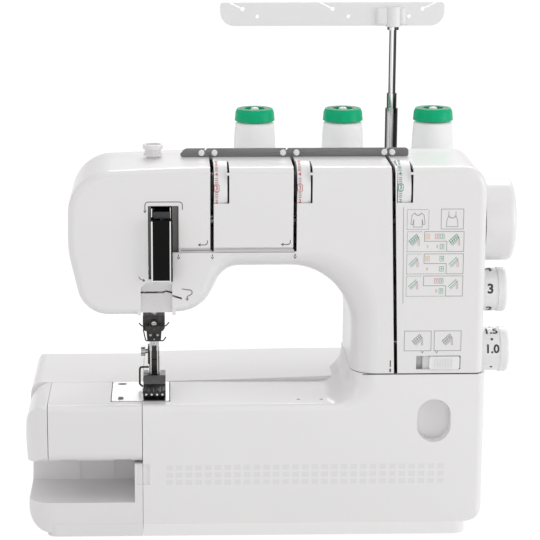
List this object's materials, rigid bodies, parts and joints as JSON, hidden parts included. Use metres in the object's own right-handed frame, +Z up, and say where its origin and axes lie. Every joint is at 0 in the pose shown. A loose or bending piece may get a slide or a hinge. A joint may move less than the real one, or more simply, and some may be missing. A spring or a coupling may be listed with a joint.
{
  "type": "serger overlock machine",
  "caption": "White table-top cover-stitch serger with a free arm, twin needles, thread stand with cones, tension dials on the arm and a handwheel on the right.",
  "frame": {"origin": "on the table, under the middle of the machine's box", "axes": "+X to the right seen from the operator, +Y away from the operator, +Z up"},
  "size_m": [0.3918, 0.214, 0.413],
  "materials": {
    "white_shell": "moulded shells, smooth and slightly glossy",
    "pale_grey_plastic": "base plate, fine matt",
    "white_yarn": "polyester thread, packed",
    "green_plastic": "spool core",
    "bright_steel": "ground steel",
    "chrome_tube": "plated tube",
    "pole_base": "grey socket of the pole",
    "dark_steel": "blackened steel",
    "black_cover": "black moulded plastic",
    "cast_frame": "die casting, as cast",
    "bronze_bush": "sintered bronze",
    "belt_rubber": "moulded rubber",
    "pulley_plastic": "moulded plastic"
  },
  "bodies": {
    "machine": {"arm_front_cover": "white_shell", "column_front_cover": "white_shell", "arm_rear_cover": "white_shell", "base_front_shell": "white_shell", "base_rear_shell": "white_shell", "free_arm_shell": "white_shell", "free_arm_end_cap": "white_shell", "base_plate": "pale_grey_plastic", "rubber_feet": "belt_rubber", "needle_plate": "bright_steel", "machine_frame": "cast_frame", "shaft_bushes": "bronze_bush", "timing_belt": "belt_rubber", "drive_belt": "belt_rubber", "motor": "cast_frame", "take_up_cover": "black_cover", "tension_axles": "bright_steel", "tension_discs": "bright_steel", "top_thread_guide": "dark_steel", "guide_discs": "white_shell", "spool_tray": "white_shell", "spool_cores": "green_plastic", "spool_threads": "white_yarn", "pole_lower": "pole_base", "power_unit": "black_cover"},
    "drive": {"upper_shaft": "bright_steel", "needle_crank": "dark_steel", "upper_timing_pulley": "pulley_plastic", "handwheel": "white_shell"},
    "lower_drive": {"lower_shaft": "bright_steel", "lower_pulley": "pulley_plastic"},
    "motor_rotor": {"motor_pulley": "pulley_plastic"},
    "needle_carriage": {"needle_bar": "bright_steel", "needle_clamp": "dark_steel", "needles": "bright_steel", "clamp_wires": "dark_steel", "take_up_lever": "dark_steel"},
    "crank_rod": {"con_rod": "bright_steel"},
    "lifter": {"foot_lifter": "black_cover"},
    "presser": {"presser_bar": "bright_steel", "foot_holder": "bright_steel", "foot_thumb_screw": "bright_steel", "presser_spring": "bright_steel"},
    "foot": {"presser_foot": "dark_steel"},
    "pressure_screw": {"pressure_knob": "white_shell"},
    "looper_arm": {"looper": "bright_steel"},
    "rear_feed": {"main_feed_dog": "bright_steel"},
    "front_feed": {"differential_feed_dog": "bright_steel"},
    "left_tension": {"tension_dial_left": "white_shell"},
    "middle_tension": {"tension_dial_middle": "white_shell"},
    "right_tension": {"tension_dial_right": "white_shell"},
    "length_dial": {"stitch_length_dial": "white_shell"},
    "feed_ratio_dial": {"differential_dial": "white_shell"},
    "selector": {"selector_slider": "white_shell"},
    "front_flap": {"looper_cover": "white_shell"},
    "table": {"extension_table": "white_shell"},
    "middle_tube": {"pole_middle": "chrome_tube"},
    "upper_tube": {"pole_upper": "chrome_tube"},
    "guide_head": {"guide_bar": "white_shell"},
    "switch": {"power_switch": "black_cover"}
  },
  "joints": [
    {"name": "handwheel_spin", "type": "hinge", "parent": "machine", "child": "drive", "pos_m": [0, -0.057, 0.252], "axis": [1, 0, 0], "continuous": true},
    {"name": "lower_shaft_spin", "type": "hinge", "parent": "machine", "child": "lower_drive", "pos_m": [0, -0.057, 0.058], "axis": [1, 0, 0], "continuous": true},
    {"name": "motor_spin", "type": "hinge", "parent": "machine", "child": "motor_rotor", "pos_m": [0, 0.012, 0.064], "axis": [1, 0, 0], "continuous": true},
    {"name": "needle_bar_slide", "type": "slide", "parent": "machine", "child": "needle_carriage", "axis": [0, 0, 1], "range_m": [-0.028, 0]},
    {"name": "crank_rod_swing", "type": "hinge", "parent": "needle_carriage", "child": "crank_rod", "pos_m": [-0.0856, -0.057, 0.229], "axis": [1, 0, 0], "range_deg": [-15, 15]},
    {"name": "foot_lifter_turn", "type": "hinge", "parent": "machine", "child": "lifter", "pos_m": [-0.092, -0.033, 0.204], "axis": [1, 0, 0], "range_deg": [0, 25]},
    {"name": "presser_bar_slide", "type": "slide", "parent": "machine", "child": "presser", "axis": [0, 0, 1], "range_m": [0, 0.006], "deforming": ["presser_spring"]},
    {"name": "presser_foot_tilt", "type": "hinge", "parent": "presser", "child": "foot", "pos_m": [-0.092, -0.047, 0.12], "axis": [1, 0, 0], "range_deg": [-5, 0]},
    {"name": "pressure_knob_turn", "type": "hinge", "parent": "machine", "child": "pressure_screw", "pos_m": [-0.092, -0.043, 0.3], "axis": [0, 0, 1], "range_deg": [-180, 180]},
    {"name": "looper_swing", "type": "hinge", "parent": "machine", "child": "looper_arm", "pos_m": [-0.06, -0.04, 0.066], "axis": [0, 1, 0], "range_deg": [-10, 4]},
    {"name": "rear_feed_slide", "type": "slide", "parent": "machine", "child": "rear_feed", "axis": [0, 1, 0], "range_m": [-0.002, 0.002]},
    {"name": "front_feed_slide", "type": "slide", "parent": "machine", "child": "front_feed", "axis": [0, 1, 0], "range_m": [-0.002, 0.002]},
    {"name": "left_tension_turn", "type": "hinge", "parent": "machine", "child": "left_tension", "pos_m": [-0.0395, -0.0795, 0.283], "axis": [1, 0, 0], "range_deg": [-150, 150]},
    {"name": "middle_tension_turn", "type": "hinge", "parent": "machine", "child": "middle_tension", "pos_m": [0.0255, -0.0795, 0.283], "axis": [1, 0, 0], "range_deg": [-150, 150]},
    {"name": "right_tension_turn", "type": "hinge", "parent": "machine", "child": "right_tension", "pos_m": [0.104, -0.0795, 0.283], "axis": [1, 0, 0], "range_deg": [-150, 150]},
    {"name": "length_dial_turn", "type": "hinge", "parent": "machine", "child": "length_dial", "pos_m": [0.18, -0.057, 0.194], "axis": [1, 0, 0], "range_deg": [-120, 120]},
    {"name": "feed_ratio_dial_turn", "type": "hinge", "parent": "machine", "child": "feed_ratio_dial", "pos_m": [0.18, -0.057, 0.144], "axis": [1, 0, 0], "range_deg": [-120, 120]},
    {"name": "selector_slide", "type": "slide", "parent": "machine", "child": "selector", "axis": [1, 0, 0], "range_m": [-0.01, 0]},
    {"name": "front_flap_swing", "type": "hinge", "parent": "machine", "child": "front_flap", "pos_m": [-0.14, -0.0925, 0.0695], "axis": [1, 0, 0], "range_deg": [0, 88]},
    {"name": "table_slide", "type": "slide", "parent": "machine", "child": "table", "axis": [-1, 0, 0], "range_m": [0, 0.1]},
    {"name": "middle_tube_slide", "type": "slide", "parent": "machine", "child": "middle_tube", "axis": [0, 0, 1], "range_m": [-0.013, 0.04]},
    {"name": "upper_tube_slide", "type": "slide", "parent": "middle_tube", "child": "upper_tube", "axis": [0, 0, 1], "range_m": [-0.03, 0.015]},
    {"name": "guide_bar_turn", "type": "hinge", "parent": "upper_tube", "child": "guide_head", "pos_m": [0.1135, 0.082, 0.4], "axis": [0, 0, 1], "range_deg": [-90, 90]},
    {"name": "power_switch_rock", "type": "hinge", "parent": "machine", "child": "switch", "pos_m": [0.1675, 0.022, 0.081], "axis": [0, -1, 0], "range_deg": [0, 9]}
  ],
  "couplings": [
    {"joint": "lower_shaft_spin", "follows": "handwheel_spin", "ratio": 1},
    {"joint": "motor_spin", "follows": "handwheel_spin", "ratio": 3.7143},
    {"joint": "foot_lifter_turn", "follows": "presser_bar_slide", "rad_per_m": 72.7},
    {"joint": "front_feed_slide", "follows": "rear_feed_slide", "ratio": 1}
  ]
}
